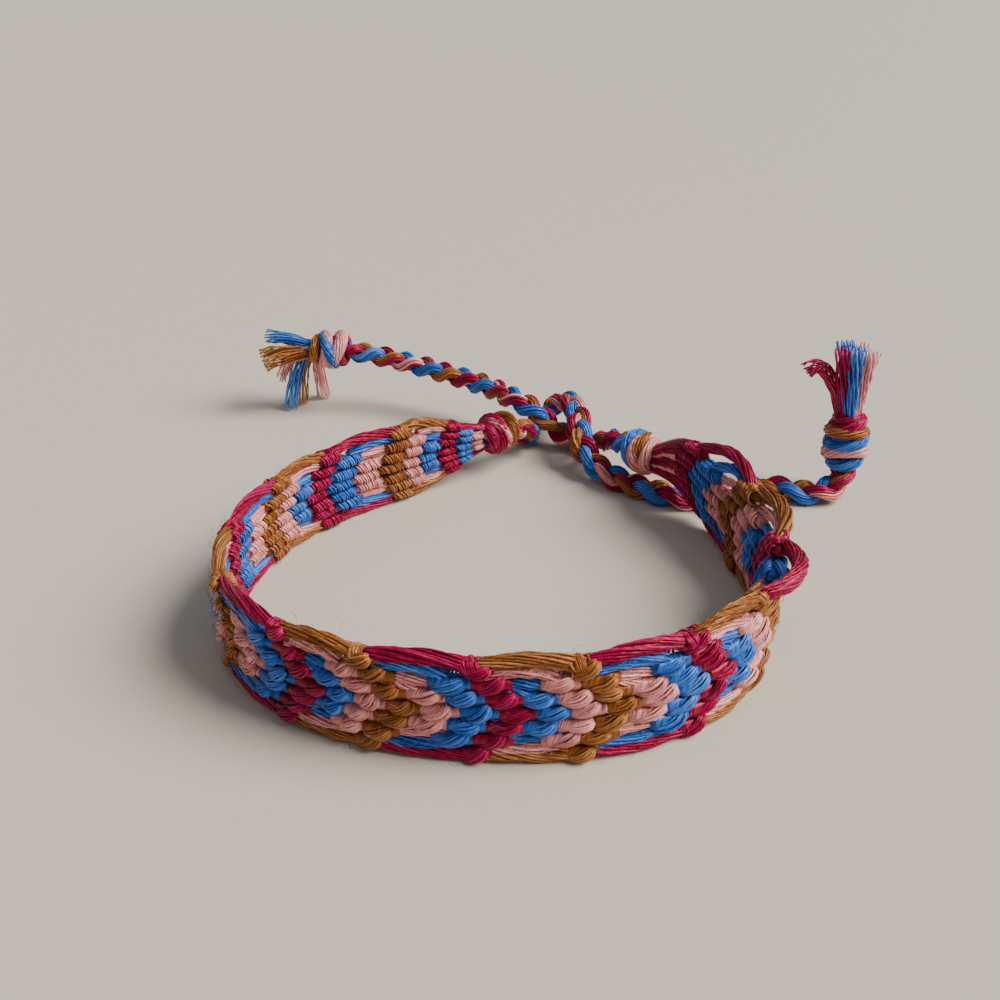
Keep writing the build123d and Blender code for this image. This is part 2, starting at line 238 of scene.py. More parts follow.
def band_places(position, width, depth):
    """Places on the band from lengths along it, widths across it and depths, in millimetres."""
    place, along = line_at(BAND_LINE, position)
    outward = np.stack([along[..., 1], -along[..., 0], np.zeros_like(position)], -1)
    from_end = np.minimum(position - BAND_START, BAND_END - position) / GATHER_LENGTH
    narrowed = width * (END_WIDTH_SHARE + (1 - END_WIDTH_SHARE) * np.clip(from_end, -0.1, 1))
    from_finish = np.clip((BAND_END - position) / GATHER_LENGTH, 0, 1)
    lean = np.interp(position, *zip(*BAND_LEAN)) * narrowed / BAND_HALF_WIDTH
    place = place + outward * (depth + lean)[..., None]
    place[..., 2] += BAND_HALF_WIDTH + FINISH_ARCH * np.sin(np.pi * from_finish) + narrowed
    return place


class Skein:
    """Plies of floss gathered by colour, to be made into meshes."""

    def __init__(self):
        self.batches = []

    def lay(self, colour, centres, radius, sides=4, tone=None):
        """Adds plies of one colour along their centre lines: ply, step, place in millimetres.

        Without a tone, from 0 for deep to 1 for bright, each ply takes one by chance. A tone
        may also be a row of numbers along the plies.
        """
        radius = np.broadcast_to(radius, centres.shape[:2])
        centres = np.array(centres)
        centres[..., 2] = np.maximum(centres[..., 2], radius)
        self.batches.append((colour, centres, radius, sides, tone))

    def make(self, name, colours, seed):
        """One mesh of the plies in these colours, a floss material for each."""
        chance = np.random.default_rng(seed)
        corners, faces, ply_map, tones, shades = [], [], [], [], []
        first = 0
        for colour, centres, radius, sides, given in self.batches:
            if colour not in colours:
                continue
            rings, quads, wraps = sweep(centres, radius, sides, chance)
            corners.append(rings)
            faces.append(quads + first)
            ply_map.append(wraps)
            if given is None:
                given = chance.random((len(centres), 1))
            tones.append(np.repeat(np.broadcast_to(given, centres.shape[:2]).ravel(), sides))
            shades.append(np.full(len(quads), colours.index(colour)))
            first += len(rings)
        mesh = bpy.data.meshes.new(name)
        mesh.from_pydata(np.concatenate(corners) * MM, [], np.concatenate(faces))
        mesh.uv_layers.new(name="ply").data.foreach_set("uv", np.concatenate(ply_map).ravel())
        tone = mesh.attributes.new("tone", "FLOAT", "POINT")
        tone.data.foreach_set("value", np.concatenate(tones))
        for colour in colours:
            mesh.materials.append(floss_material(colour))
        mesh.polygons.foreach_set("material_index", np.concatenate(shades))
        mesh.polygons.foreach_set("use_smooth", np.ones(len(mesh.polygons), bool))
        mesh.update()
        piece = bpy.data.objects.new(name, mesh)
        bpy.context.scene.collection.objects.link(piece)
        return piece


def sweep(centres, radius, sides, chance):
    """Round closed tubes along centre lines: their corners, four-sided faces and ply map."""
    count, steps = centres.shape[:2]
    along = np.gradient(centres, axis=1)
    along /= np.linalg.norm(along, axis=-1, keepdims=True) + TINY
    steep = np.abs(along[:, :1, 2]) > 0.8
    across = np.cross(along[:, 0], np.where(steep, [1.0, 0, 0], [0, 0, 1.0]))
    sideways = []
    for step in range(steps):
        across = across - along[:, step] * np.sum(across * along[:, step], -1, keepdims=True)
        across = across / (np.linalg.norm(across, axis=-1, keepdims=True) + TINY)
        sideways.append(across)
    sideways = np.stack(sideways, 1)[:, :, None]
    upward = np.cross(along[:, :, None], sideways)
    turn = (2 * np.pi * np.arange(sides) / sides)[:, None]
    rings = centres[:, :, None] + radius[..., None, None] * (
        np.cos(turn) * sideways + np.sin(turn) * upward)
    index = np.arange(count * steps * sides).reshape(count, steps, sides)
    low, high = index[:, :-1], index[:, 1:]
    quads = np.stack([low, np.roll(low, -1, 2), np.roll(high, -1, 2), high], -1).reshape(-1, 4)
    half = np.arange(sides // 2 - 1)
    lid = np.stack([half, half + 1, sides - 2 - half, sides - 1 - half], -1)
    lids = [index[:, 0][:, lid[:, ::-1]].reshape(-1, 4), index[:, -1][:, lid].reshape(-1, 4)]
    lengths = np.linalg.norm(np.diff(centres, axis=1), axis=-1)
    reach = np.concatenate([np.zeros((count, 1)), np.cumsum(lengths, 1)], 1)
    reach = reach + chance.random((count, 1)) * MAP_SHIFT
    around = np.arange(sides + 1) / sides
    wraps = np.zeros((count, steps - 1, sides, 4, 2))
    wraps[..., [0, 3], 0] = around[:-1, None]
    wraps[..., [1, 2], 0] = around[1:, None]
    wraps[..., [0, 1], 1] = reach[:, :-1, None, None]
    wraps[..., [2, 3], 1] = reach[:, 1:, None, None]
    ends = np.zeros((2 * count * len(lid), 4, 2))
    return (rings.reshape(-1, 3), np.concatenate([quads, *lids]),
            np.concatenate([wraps.reshape(-1, 4, 2), ends]))


def headings(path):
    """Directions along a line of places."""
    steps = np.gradient(path, axis=0)
    return steps / np.linalg.norm(steps, axis=-1, keepdims=True)


def bundle(places, along, count, spread, turns, chance, wobble=0.04):
    """Plies wound side by side about one centre line."""
    across = np.cross(along, [0.0, 0.0, 1.0])
    across /= np.linalg.norm(across, axis=-1, keepdims=True) + TINY
    upward = np.cross(across, along)
    spread = np.broadcast_to(spread, places.shape[:1])
    share = np.linspace(0, 1, len(places))
    plies = []
    for number in range(count):
        turn = 2 * np.pi * (number / count + turns * share) + chance.normal(0, 0.12)
        waver = wobble * np.sin(2 * np.pi * (share * chance.uniform(1, 3) + chance.random()))
        plies.append(places + (across * np.cos(turn)[:, None] + upward * np.sin(turn)[:, None])
                     * (spread + waver)[:, None])
    return np.stack(plies)


# The finish of the floss
TWIST = 1.1                   # turns of a ply's two strands in a millimetre
FIBRES_ROUND = 9.0            # fibre streaks across a strand
FIBRES_ALONG = 0.9            # and along it, in a millimetre
GLINT_STREAK_RANGE = (0.36, 0.64)   # fibre noise of the darkest and the brightest painted glint streak
PLY_SHARE = 0.38              # the tone is made up of the ply's own
DRIFT_SHARE = 0.3             # of a drift over the object
GLINT_STREAK_SHARE = 0.34           # and of the streaks, painted glints along the plies
DRIFT_SCALE = 700.0           # patches of that drift in a metre
TONE_RANGE = (0.12, 0.82)     # tones that show the deep and the bright colour
DEEP_SHARE = 0.2              # the deep colour, of dark plies and painted shade, is this share of the dye
BRIGHT_POWER = 0.55           # and the bright one, of light plies and painted highlights, is the dye to this power
ROUGHNESS = (0.22, 0.25)      # of the smoothest fibres, and how much more the roughest have
FIBRE_HEIGHT = 0.00003        # in metres


def floss_group():
    """Twisted fibres along a ply: a colour that varies, with painted glints, a roughness and a
    height.
    """
    name = "twisted_floss"
    if name in bpy.data.node_groups:
        return bpy.data.node_groups[name]
    group = bpy.data.node_groups.new(name, "ShaderNodeTree")
    face = group.interface
    for label, kind, value in [("Deep", "NodeSocketColor", (0.1, 0.1, 0.1, 1)),
                               ("Body", "NodeSocketColor", (0.5, 0.5, 0.5, 1)),
                               ("Bright", "NodeSocketColor", (0.9, 0.9, 0.9, 1)),
                               ("Twist", "NodeSocketFloat", TWIST)]:
        face.new_socket(label, in_out="INPUT", socket_type=kind).default_value = value
    for label, kind in [("Colour", "NodeSocketColor"), ("Roughness", "NodeSocketFloat"),
                        ("Height", "NodeSocketFloat")]:
        face.new_socket(label, in_out="OUTPUT", socket_type=kind)
    nodes, links = group.nodes, group.links
    given, result = nodes.new("NodeGroupInput"), nodes.new("NodeGroupOutput")
    ply = nodes.new("ShaderNodeUVMap")
    ply.uv_map = "ply"
    parts = nodes.new("ShaderNodeSeparateXYZ")
    links.new(ply.outputs["UV"], parts.inputs[0])

    def maths(kind, first, second=0.0):
        """What a sum of two values or sockets gives."""
        node = nodes.new("ShaderNodeMath")
        node.operation = kind
        for socket, value in zip(node.inputs, (first, second)):
            if isinstance(value, (int, float)):
                socket.default_value = value
            else:
                links.new(value, socket)
        return node.outputs[0]

    def stretched(value, limits):
        """A value, from 0 at the lower limit to 1 at the upper one."""
        node = nodes.new("ShaderNodeMapRange")
        node.inputs["From Min"].default_value, node.inputs["From Max"].default_value = limits
        links.new(value, node.inputs["Value"])
        return node.outputs[0]

    def blended(share, first, second):
        """A colour between two others."""
        node = nodes.new("ShaderNodeMix")
        node.data_type = "RGBA"
        node.clamp_factor = True
        for label, value in (("Factor", share), ("A", first), ("B", second)):
            links.new(value, node.inputs[label])
        return node.outputs["Result"]

    # Two strands wound round each other, then the hair-fine fibres of each
    along = maths("MULTIPLY", parts.outputs["Y"], given.outputs["Twist"])
    wound = maths("ADD", maths("MULTIPLY", parts.outputs["X"], 2.0), along)
    strands = maths("SINE", maths("MULTIPLY", wound, 2 * np.pi))
    fibre_place = nodes.new("ShaderNodeCombineXYZ")
    links.new(maths("MULTIPLY", wound, FIBRES_ROUND), fibre_place.inputs["X"])
    links.new(maths("MULTIPLY", parts.outputs["Y"], FIBRES_ALONG), fibre_place.inputs["Y"])
    fibres = nodes.new("ShaderNodeTexNoise")
    fibres.inputs["Scale"].default_value = 1.0
    fibres.inputs["Detail"].default_value = 3.0
    links.new(fibre_place.outputs[0], fibres.inputs["Vector"])
    height = maths("ADD", maths("MULTIPLY", strands, 0.5), fibres.outputs["Fac"])
    # The fibres' noise also paints streaks into the colour: painted glints, light and dark along
    # each ply
    glint_streaks = stretched(fibres.outputs["Fac"], GLINT_STREAK_RANGE)

    # Dye takes unevenly: each ply has its own tone, and it drifts over the object; the streaks on
    # top are painted glints
    tone = nodes.new("ShaderNodeAttribute")
    tone.attribute_name = "tone"
    place = nodes.new("ShaderNodeTexCoord")
    drift = nodes.new("ShaderNodeTexNoise")
    drift.inputs["Scale"].default_value = DRIFT_SCALE
    links.new(place.outputs["Object"], drift.inputs["Vector"])
    mixed = maths("ADD", maths("MULTIPLY", tone.outputs["Fac"], PLY_SHARE),
                  maths("MULTIPLY", drift.outputs["Fac"], DRIFT_SHARE))
    mixed = maths("ADD", mixed, maths("MULTIPLY", glint_streaks, GLINT_STREAK_SHARE))
    twice = maths("MULTIPLY", stretched(mixed, TONE_RANGE), 2.0)
    # Deep, body and bright colour by tone: the bright end also paints highlights, the deep end
    # shade
    low = blended(twice, given.outputs["Deep"], given.outputs["Body"])
    high = blended(maths("SUBTRACT", twice, 1.0), low, given.outputs["Bright"])
    smoothest, more = ROUGHNESS
    roughness = maths("ADD", maths("MULTIPLY", fibres.outputs["Fac"], more), smoothest)
    links.new(high, result.inputs["Colour"])
    links.new(roughness, result.inputs["Roughness"])
    links.new(height, result.inputs["Height"])
    return group


def floss_material(colour):
    """Mercerised cotton floss in one of the settings' colours."""
    name = "twisted_" + colour
    if name in bpy.data.materials:
        return bpy.data.materials[name]
    dyes = bpy.context.scene.bracelet_dyes
    body = np.array(getattr(dyes, colour))
    hue = body / body.max()
    material = bpy.data.materials.new(name)
    material.use_nodes = True
    nodes, links = material.node_tree.nodes, material.node_tree.links
    shader = nodes["Principled BSDF"]
    group = nodes.new("ShaderNodeGroup")
    group.node_tree = floss_group()
    # Deep and bright colours: dark and light plies, and also painted shade and painted highlights
    group.inputs["Deep"].default_value = (*(body * DEEP_SHARE), 1)
    group.inputs["Body"].default_value = (*body, 1)
    group.inputs["Bright"].default_value = (*body**BRIGHT_POWER, 1)
    links.new(group.outputs["Colour"], shader.inputs["Base Color"])
    links.new(group.outputs["Roughness"], shader.inputs["Roughness"])
    bump = nodes.new("ShaderNodeBump")
    bump.inputs["Strength"].default_value = 0.8
    bump.inputs["Distance"].default_value = FIBRE_HEIGHT
    links.new(group.outputs["Height"], bump.inputs["Height"])
    links.new(bump.outputs["Normal"], shader.inputs["Normal"])
    shader.inputs["Specular IOR Level"].default_value = 0.9
    shader.inputs["Specular Tint"].default_value = (*(0.15 + 0.85 * hue), 1)
    shader.inputs["Sheen Weight"].default_value = 0.12
    shader.inputs["Sheen Roughness"].default_value = 0.4
    shader.inputs["Sheen Tint"].default_value = (*(0.2 + 0.8 * hue), 1)
    return material


def claim(piece, slot, *nodes):
    """Fixes a finished piece to the part's body and hides the solids it stands for."""
    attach(piece, "root")
    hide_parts(*nodes)


# Sizes and colours
class BraceletFloss(bpy.types.PropertyGroup):
    """Sizes of the floss."""
    ply_radius: FloatProperty(
        name="Ply radius", description="Half the thickness of one ply of the floss",
        default=0.115 * MM, unit="LENGTH", precision=5)
    knot_plies: IntProperty(
        name="Plies in a knot", description="Plies that show side by side on one knot",
        default=7, min=3, max=10)
    float_plies: IntProperty(
        name="Plies in a float", description="Plies of a long stitch along the band's edge",
        default=14, min=8, max=20)
    band_hairs: IntProperty(
        name="Stray hairs", description="Stray hairs that stand off the band", default=1500, min=1)
    hair_radius: FloatProperty(
        name="Hair radius", description="Half the thickness of a stray hair",
        default=0.014 * MM, unit="LENGTH", precision=6)


class BraceletDyes(bpy.types.PropertyGroup):
    """Colours of the four flosses."""
    crimson: FloatVectorProperty(name="Crimson", description="Dye of the crimson floss",
                                 subtype="COLOR", default=(0.33, 0.0006, 0.038), min=0, max=1)
    blue: FloatVectorProperty(name="Blue", description="Dye of the blue floss",
                              subtype="COLOR", default=(0.035, 0.165, 0.64), min=0, max=1)
    pink: FloatVectorProperty(name="Pink", description="Dye of the pink floss",
                              subtype="COLOR", default=(0.96, 0.36, 0.34), min=0, max=1)
    brown: FloatVectorProperty(name="Brown", description="Dye of the brown floss",
                               subtype="COLOR", default=(0.33, 0.10, 0.018), min=0, max=1)


class BraceletStage(bpy.types.PropertyGroup):
    """Floor and light."""
    floor_colour: FloatVectorProperty(name="Floor", description="Colour of the floor",
                                      subtype="COLOR", default=(0.62, 0.56, 0.465), min=0, max=1)
    key_strength: FloatProperty(name="Key light",
                                description="Strength of the daylight from the right",
                                default=5.3, min=0)
    sky_strength: FloatProperty(name="Room light", description="Strength of the light all round",
                                default=0.3, min=0)


# The band
def knots_of(place):
    """Rows and columns of the knots whose rows lie at one place of the colour repeat."""
    knots = [(row, column) for row in range(place, ROWS, REPEAT)
             for column in range(-(1 + row % ROW_CYCLE), 2 + row % ROW_CYCLE)]
    return np.array(knots).T


def outer_knots(skein, floss, chance):
    """Knots of the outer face: short ropes of plies that rise along the band, ends tucked in."""
    radius = floss.ply_radius / MM
    count = floss.knot_plies
    share = np.linspace(0, 1, KNOT_STEPS)
    round_step = (np.arange(count) + 0.5)[:, None] / count
    for place, colour in enumerate(ROW_COLOURS):
        row, column = knots_of(place)[:, :, None, None]
        rise_off, hook_off, length_off, thick_off, width_off, place_off, crest_off, _ = (
            chance.normal(0, 1, (8, len(row), 1, 1)))
        turn_off, ply_off, _ = chance.normal(0, 1, (3, len(row), count, 1))

        # The rope's middle line sets out along the band and hooks towards the upper edge
        rise = np.radians(KNOT_RISE + 8 * rise_off)
        hook = np.radians(KNOT_HOOK + 12 * hook_off)
        turn = rise + (hook - rise) * share**1.6
        length = row_pitch(row) * (KNOT_REACH + 0.07 * length_off)
        run = np.cumsum(np.cos(turn), -1) * length / KNOT_STEPS
        lift = np.cumsum(np.sin(turn), -1) * length / KNOT_STEPS
        run -= run.mean(-1, keepdims=True)
        lift -= lift.mean(-1, keepdims=True)

        # Its plies lie side by side, and its thickest place comes past the middle
        skew = share**1.45
        swell = KNOT_ENDS + (1 - KNOT_ENDS) * np.clip(4 * skew * (1 - skew), 0, 1)**0.6
        around = np.radians(KNOT_ARC * (2 * round_step - 1) + KNOT_TWIST * (share - 0.5)
                            + 5 * turn_off)
        thick = KNOT_HALF * (1 + 0.07 * thick_off) * (1 + 0.05 * ply_off)
        across = thick * swell * np.sin(around)
        width = column * COLUMN_PITCH + 0.08 * width_off
        position = (row_position(row, width) + KNOT_SHIFT + 0.14 * place_off + run
                    - across * np.sin(turn))
        crest = RIDGE - radius - KNOT_HALF + 0.06 * crest_off + 0.25 * (share - 0.6)
        depth = crest + thick * swell * np.cos(around) - 0.25 * (1 - swell)
        centres = band_places(position, width + lift + across * np.cos(turn), depth)
        skein.lay(colour, centres.reshape(-1, len(share), 3), radius)


def inner_knots(skein, floss, chance):
    """Knots of the inner face: rounded lumps whose plies slant across them."""
    radius = floss.ply_radius / MM
    count = floss.knot_plies + INNER_MORE
    share = np.linspace(-1, 1, KNOT_STEPS)
    step = (np.arange(count) - (count - 1) / 2)[:, None] / count
    around = np.radians(INNER_ARC) * share
    for place, colour in enumerate(ROW_COLOURS):
        row, column = knots_of(place)[:, :, None, None]
        slant_off, width_off, place_off, swell_off, crest_off, _ = (
            chance.normal(0, 1, (6, len(row), 1, 1)))
        ply_slant_off, ply_place_off, ply_depth_off = (
            chance.normal(0, 1, (3, len(row), count, 1)))
        swell = np.sqrt(1 - (2 * step)**6 * 0.7) * (1 + 0.06 * swell_off)
        slant = INNER_SLANT + 0.096 * slant_off + 0.064 * ply_slant_off
        width = column * COLUMN_PITCH + 0.07 * width_off
        position = (row_position(row, width) + KNOT_SHIFT + 0.12 * place_off
                    + step * row_pitch(row) * INNER_REACH + share * slant + 0.04 * ply_place_off)
        crest = RIDGE - radius - INNER_HALF + 0.06 * crest_off
        depth = crest + INNER_HALF * swell * np.cos(around) + 0.03 * ply_depth_off
        centres = band_places(position, width + INNER_HALF * swell * np.sin(around), -depth)
        skein.lay(colour, centres.reshape(-1, len(share), 3), radius)


def band_cores(skein):
    """The floss inside each knot, round which its plies are tied."""
    share = np.linspace(-1, 1, 6)
    blunt = 0.68 - 0.1 * share**8
    pointed = 0.64 - 0.5 * share**4
    for place, colour in enumerate(ROW_COLOURS):
        row, column = knots_of(place)[:, :, None]
        width = column * COLUMN_PITCH + 0 * share
        position = row_position(row, width) + KNOT_SHIFT + share * row_pitch(row) * 0.6
        centres = band_places(position, width, 0 * position)
        radius = np.where(np.abs(column) == OUTER_COLUMN, pointed, blunt)
        # The cores take the darkest tone: painted shade where they show between the plies
        skein.lay(colour, centres, radius, CORE_SIDES, PAINTED_SHADE_TONE)


def lay_stitch(skein, floss, chance, colour, stitch, edge, start, end,
               swing=(0.0, 0.0), heavy=1.0, steps=14):
    """A long stitch near one edge, between two lengths along the band.

    It swings outward and upward from there, and is so much thicker than its kind.
    """
    share = np.linspace(0, 1, steps)
    ease = share * share * (3 - 2 * share)
    arch = np.sin(np.pi * share)
    position = start + (end - start) * share
    width = stitch.start + (stitch.end - stitch.start) * ease + stitch.bow * arch
    width = edge * width + swing[1] * arch
    depth = swing[0] * arch
    fatness = heavy * (0.9 + 0.1 * arch)
    turns = chance.uniform(0.3, 0.6) * abs(end - start) / 8
    count = floss.float_plies - stitch.fewer
    plies = []
    for number in range(count):
        turn = 2 * np.pi * (number / count + turns * share) + chance.normal(0, 0.15)
        waver = 1 + 0.13 * np.sin(2 * np.pi * (share * chance.uniform(1, 3.5) + chance.random()))
        plies.append(band_places(position + chance.normal(0, 0.05),
                                 width + fatness * waver * stitch.across * np.cos(turn),
                                 depth + fatness * waver * stitch.through * np.sin(turn)))
    skein.lay(colour, np.stack(plies), floss.ply_radius / MM)
    # Its core, in the darkest tone, is painted shade between the plies
    core = heavy * min(stitch.across, stitch.through) * np.minimum(0.3 + 2.4 * arch, 1)
    middle = band_places(position, width, depth)[None]
    skein.lay(colour, middle, core[None], CORE_SIDES, PAINTED_SHADE_TONE)


def band_floats(skein, floss, chance):
    """Long stitches beside the chevrons, at the edges and up to the middle rows."""
    for edge in (1, -1):
        for row in range(-1, ROWS - 1, ROW_CYCLE):
            first = row < 0
            small, inner, outer = (ROW_COLOURS[(row + ahead) % REPEAT] for ahead in (1, 2, 3))
            outward, upward = 0.0, 0.0
            if edge > 0 and not first:
                outward, upward = SWUNG_FLOATS.get(row, (0.0, TOP_BOW))
            heavy = HEAVY_FLOAT if outward > 1 else 1.0
            start = BAND_START - 1.0 if first else row_position(row, EDGE_LINE) + COLLAR_SHIFT
            end = row_position(row + ROW_CYCLE, EDGE_LINE) + COLLAR_SHIFT + 0.4
            lay_stitch(skein, floss, chance, outer, FIRST_EDGE_FLOAT if first else EDGE_FLOAT,
                       edge, start, end, (outward, upward), heavy)
            start = start if first else row_position(row, 4.0) + 0.2
            end = row_position(row + 2, SECOND_COLUMN) + KNOT_SHIFT - 0.3
            lay_stitch(skein, floss, chance, inner, FIRST_INNER_FLOAT if first else INNER_FLOAT,
                       edge, start, end, (0.6 * outward, 0.5 * upward))
            if first:
                continue
            lay_stitch(skein, floss, chance, small, SMALL_FLOAT,
                       edge, start - 0.3, end - 0.1, (0.25 * outward, 0.25 * upward))
            start = row_position(row, SECOND_COLUMN) + 0.3
            end = row_position(row + 1, COLUMN_PITCH) + KNOT_SHIFT - 0.6
            lay_stitch(skein, floss, chance, small, SMALL_STITCH, edge, start, end, steps=8)


def band_collars(skein, floss, chance):
    """Wraps round the edge floss at both ends of each full row."""
    turn = np.linspace(0, 2 * np.pi, 11)
    for edge in (1, -1):
        for row in range(2, ROWS, ROW_CYCLE):
            middle = row_position(row, EDGE_LINE) + COLLAR_SHIFT
            rings = []
            for number in range(COLLAR_TURNS):
                tilt = 0.28 + chance.normal(0, 0.09)
                from_middle = 2 * (number + 0.5) / COLLAR_TURNS - 1
                position = middle + from_middle * COLLAR_HALF_LENGTH - tilt * np.cos(turn)
                size = COLLAR_REACH[edge] * (1 - 0.2 * from_middle**2) + chance.normal(0, 0.03)
                width = edge * (EDGE_FLOAT.end + size * np.cos(turn))
                rings.append(band_places(position, width, (size + 0.08) * np.sin(turn)))
            skein.lay(ROW_COLOURS[row % REPEAT], np.stack(rings), floss.ply_radius / MM)


def band_gathers(skein, floss, chance):
    """Floss that runs from the last row into the finish knot."""
    for edge in (1, -1):
        for column, colour in GATHERED:
            width = column * COLUMN_PITCH
            gather = Stitch(width, 0.5 + column * 0.7, 0.1, 0.68, 0.7, 0)
            start = row_position(ROWS - 1, width) + 0.2
            lay_stitch(skein, floss, chance, colour, gather, edge, start, BAND_END + 0.8, steps=10)


def band_fuzz(skein, floss, chance):
    """Stray hairs that stand off the floss of the band."""
    count = floss.band_hairs
    step = np.linspace(0, 1, HAIR_STEPS)
    row = chance.integers(0, ROWS, count)
    width = chance.uniform(-4.9, 4.9, count)
    beyond = np.abs(width) > (1.5 + row % ROW_CYCLE) * COLUMN_PITCH
    place = np.where(beyond, row // ROW_CYCLE * ROW_CYCLE + 2, row) % REPEAT
    side = chance.choice([1, -1], count)
    heading = chance.uniform(0, 2 * np.pi, count)[:, None]
    heading = heading + chance.normal(0, 1.2, count)[:, None] * step
    reach = chance.uniform(0.5, 1.7, count)[:, None] / HAIR_STEPS
    position = row_position(row, width) + chance.uniform(-1.5, 1.5, count)
    stand = chance.uniform(0.0, 0.45, count)[:, None] * np.sin(np.pi * 0.85 * step)
    surface = np.where(np.abs(width) > 3.8, 0.62, 1.08)[:, None]
    centres = band_places(position[:, None] + reach * np.cumsum(np.cos(heading), -1),
                          width[:, None] + reach * np.cumsum(np.sin(heading), -1),
                          side[:, None] * (surface + stand))
    for number, colour in enumerate(ROW_COLOURS):
        skein.lay(colour, centres[place == number], floss.hair_radius / MM)


class BRACELET_OT_lay_band(bpy.types.Operator):
    """Lays the knots, floats and collars of the band, a mesh for each colour of floss"""
    bl_idname = "bracelet.lay_band"
    bl_label = "Lay the band"

    def execute(self, context):
        floss = context.scene.bracelet_floss
        chance = np.random.default_rng(SEEDS["band"])
        skein = Skein()
        outer_knots(skein, floss, chance)
        inner_knots(skein, floss, chance)
        band_cores(skein)
        band_floats(skein, floss, chance)
        band_collars(skein, floss, chance)
        band_gathers(skein, floss, chance)
        band_fuzz(skein, floss, chance)
        for number, colour in enumerate(("crimson", "blue", "pink", "brown")):
            piece = skein.make(colour + "_band_floss", [colour], number)
            claim(piece, colour + "_floss", "knotted_band")
        return {"FINISHED"}


# The ties: the two colours of each strand, of which the first shows more
TIE_STRANDS = {1: ("crimson", "pink"), 2: ("blue", "blue"), 3: ("brown", "crimson")}
STRAND_PLIES = 15
MAIN_PLIES = 10           # of these, the ones in the first colour
STRAND_SPREAD = 0.62      # distance of the plies from the strand's middle
STRAND_CORE = 0.6
SWAY_SHARE = 0.88         # the strands sway this share of the solids' sway
TIE_STEPS = 26            # places along a strand in one period


def tie_strand(skein, route, strand, colours, radius, chance):
    """One strand of a tie's braid: flosses side by side along the braid's swaying line."""
    tie = smooth_line([np.add(place, LOOP_CENTRE) for place in route])
    length = tie[1][-1]
    periods = length / BRAID_PERIOD
    position = np.linspace(-STRAND_CORE, length + STRAND_CORE, int(periods * TIE_STEPS))
    place, along = line_at(tie, position)
    across = np.cross(along, [0, 0, 1.0])
    across /= np.linalg.norm(across, axis=-1, keepdims=True)
    upward = np.cross(across, along)
    turn = 2 * np.pi * (position / BRAID_PERIOD + strand / STRANDS)
    sway = across * (BRAID_HALF_WIDTH * np.sin(turn))[:, None]
    sway += upward * (BRAID_HALF_DEPTH * np.sin(2 * turn))[:, None]
    path = place + SWAY_SHARE * sway
    plies = bundle(path, headings(path), STRAND_PLIES, STRAND_SPREAD, 0.6 * periods, chance)
    skein.lay(colours[0], plies[:MAIN_PLIES], radius)
    skein.lay(colours[1], plies[MAIN_PLIES:], radius)
    # The strand's core, in the darkest tone: painted shade between the plies
    skein.lay(colours[0], path[None], STRAND_CORE, CORE_SIDES, PAINTED_SHADE_TONE)


class BRACELET_OT_braid_ties(bpy.types.Operator):
    """Braids the two ties, three strands of floss each"""
    bl_idname = "bracelet.braid_ties"
    bl_label = "Braid the ties"

    def execute(self, context):
        radius = context.scene.bracelet_floss.ply_radius / MM
        chance = np.random.default_rng(SEEDS["ties"])
        for end, route in (("start", START_TIE), ("finish", FINISH_TIE)):
            for strand, colours in TIE_STRANDS.items():
                skein = Skein()
                tie_strand(skein, route, strand, colours, radius, chance)
                node = f"{end}_braid_strand_{strand}"
                piece = skein.make(node + "_floss", list(dict.fromkeys(colours)), strand)
                claim(piece, colours[0] + "_floss", node)
        return {"FINISHED"}


# The knots
def knot_axes(direction):
    """A knot's own axis and two directions across it."""
    axis = np.array(direction, float)
    axis /= np.linalg.norm(axis)
    side = np.cross(axis, [0, 1.0, 0] if abs(axis[2]) > 0.5 else [0, 0, 1.0])
    side /= np.linalg.norm(side)
    return axis, side, np.cross(axis, side)


def fat_wrap(skein, colour, centre, normal, radius, thickness, ply, chance):
    """One turn of a whole floss, laid as plies about a ring."""
    axis, side, over = knot_axes(normal)
    turn = np.linspace(0, 2 * np.pi, 20)[:, None]
    uneven = 1 + 0.05 * np.sin(2 * turn + chance.random() * 6)
    ring = centre + radius * uneven * (side * np.cos(turn) + over * np.sin(turn))
    outward = np.cross(over * np.cos(turn) - side * np.sin(turn), axis)
    count = max(int(2 * np.pi * thickness / (ply * 1.9)), 5)
    plies = []
    for number in range(count):
        angle = 2 * np.pi * number / count + turn + chance.normal(0, 0.12)
        plies.append(ring + (outward * np.cos(angle) + axis * np.sin(angle)) * thickness)
    skein.lay(colour, np.stack(plies), ply)
    # The wrap's core, in the darkest tone: painted shade between the plies
    skein.lay(colour, ring[None], thickness * 0.96, CORE_SIDES, PAINTED_SHADE_TONE)


def wound_knot(skein, centre, direction, radius, half_length, wraps, ply, chance):
    """A knot of a few fat wraps round a core. Each wrap: colour, place, tilts, size, thickness."""
    axis, side, over = knot_axes(direction)
    centre = np.add(centre, LOOP_CENTRE)
    for colour, place, (tilt, heading), size, thickness in wraps:
        lean = np.radians(heading)
        normal = axis + np.tan(np.radians(tilt)) * (side * np.cos(lean) + over * np.sin(lean))
        reach = radius * size - thickness
        fat_wrap(skein, colour, centre + axis * place * half_length, normal, reach, thickness,
                 ply, chance)
    share = np.linspace(-1, 1, 9)
    core = centre + axis * (share * half_length * 0.9)[:, None]
    core_radius = np.maximum(radius * 0.7 * np.sqrt(1 - 0.9 * share**2), 0.2)
    # The knot's core, in the darkest tone: painted shade between the wraps
    skein.lay(wraps[0][0], core[None], core_radius[None], 2 * CORE_SIDES, PAINTED_SHADE_TONE)


